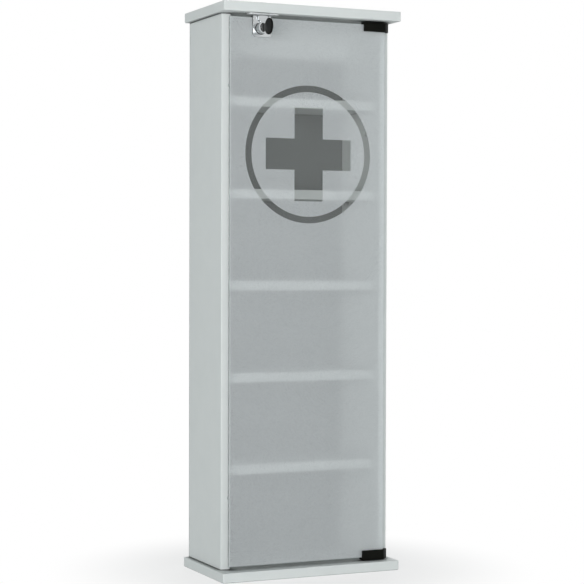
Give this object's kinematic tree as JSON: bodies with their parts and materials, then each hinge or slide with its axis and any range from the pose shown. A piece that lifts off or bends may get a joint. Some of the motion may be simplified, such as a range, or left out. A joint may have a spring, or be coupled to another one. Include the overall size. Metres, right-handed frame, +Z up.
{
  "type": "medical wall cabinet",
  "caption": "Tall shallow wall cabinet of white board with a locking frosted glass door that carries a clear ring and cross, hung on pivot clamps, with shelves on pins behind it.",
  "frame": {"origin": "middle of the bottom panel's underside, on the base mount", "axes": "+Z up, +Y towards the wall behind the cabinet, +X to the right of somebody facing the door"},
  "size_m": [0.3, 0.199, 0.88],
  "materials": {
    "white_board": "white melamine-faced board, satin, edges banded",
    "grey_back": "grey-faced hardboard, matt",
    "frosted_glass": "toughened glass, etched on the front but for a clear ring and cross",
    "black_metal": "black, satin",
    "chrome": "bright plated",
    "steel": "zinc plated",
    "black_rubber": "soft liner, matt",
    "clear_rubber": "translucent bumper",
    "black_plastic": "moulded, fine grain",
    "grey_plastic": "plain bearing plastic"
  },
  "bodies": {
    "carcass": {"top_panel": "white_board", "bottom_panel": "white_board", "side_panel_left": "white_board", "side_panel_right": "white_board", "hanging_rail": "white_board", "shelf_1": "white_board", "shelf_2": "white_board", "shelf_3": "white_board", "shelf_4": "white_board", "shelf_5": "white_board", "back_panel": "grey_back", "shelf_pin_1_left_front": "steel", "shelf_pin_1_left_rear": "steel", "shelf_pin_1_right_front": "steel", "shelf_pin_1_right_rear": "steel", "shelf_pin_2_left_front": "steel", "shelf_pin_2_left_rear": "steel", "shelf_pin_2_right_front": "steel", "shelf_pin_2_right_rear": "steel", "shelf_pin_3_left_front": "steel", "shelf_pin_3_left_rear": "steel", "shelf_pin_3_right_front": "steel", "shelf_pin_3_right_rear": "steel", "shelf_pin_4_left_front": "steel", "shelf_pin_4_left_rear": "steel", "shelf_pin_4_right_front": "steel", "shelf_pin_4_right_rear": "steel", "shelf_pin_5_left_front": "steel", "shelf_pin_5_left_rear": "steel", "shelf_pin_5_right_front": "steel", "shelf_pin_5_right_rear": "steel", "strike_plate": "chrome", "strike_screw_left": "chrome", "strike_screw_right": "chrome", "door_bumper_upper": "clear_rubber", "door_bumper_lower": "clear_rubber", "hinge_bush_top": "grey_plastic", "hinge_bush_bottom": "grey_plastic"},
    "door": {"door_glass": "frosted_glass", "hinge_clamp_top": "black_metal", "hinge_clamp_bottom": "black_metal", "hinge_liner_top": "black_rubber", "hinge_liner_bottom": "black_rubber", "hinge_pin_top": "steel", "hinge_pin_bottom": "steel", "hinge_screw_top_1": "steel", "hinge_screw_top_2": "steel", "hinge_screw_bottom_1": "steel", "hinge_screw_bottom_2": "steel", "lock_case": "chrome", "lock_liner": "black_rubber", "lock_screw_left": "steel", "lock_screw_right": "steel", "lock_barrel": "chrome"},
    "plug": {"lock_plug": "chrome"},
    "key": {"key_blade": "steel", "key_head": "black_plastic"},
    "bolt": {"lock_bolt": "chrome"}
  },
  "joints": [
    {"name": "door_swing", "type": "hinge", "parent": "carcass", "child": "door", "pos_m": [0.1359, -0.0585, 0.44], "axis": [0, 0, 1], "range_deg": [0, 120]},
    {"name": "key_turn", "type": "hinge", "parent": "door", "child": "plug", "pos_m": [-0.0851, -0.0663, 0.842], "axis": [0, -1, 0], "range_deg": [0, 90]},
    {"name": "bolt_slide", "type": "slide", "parent": "door", "child": "bolt", "axis": [0, 0, 1], "range_m": [0, 0.00637]},
    {"name": "key_pull", "type": "slide", "parent": "plug", "child": "key", "axis": [0, -1, 0], "range_m": [0, 0.03]}
  ],
  "couplings": [
    {"joint": "bolt_slide", "follows": "key_turn", "m_per_rad": 0.0040514}
  ]
}
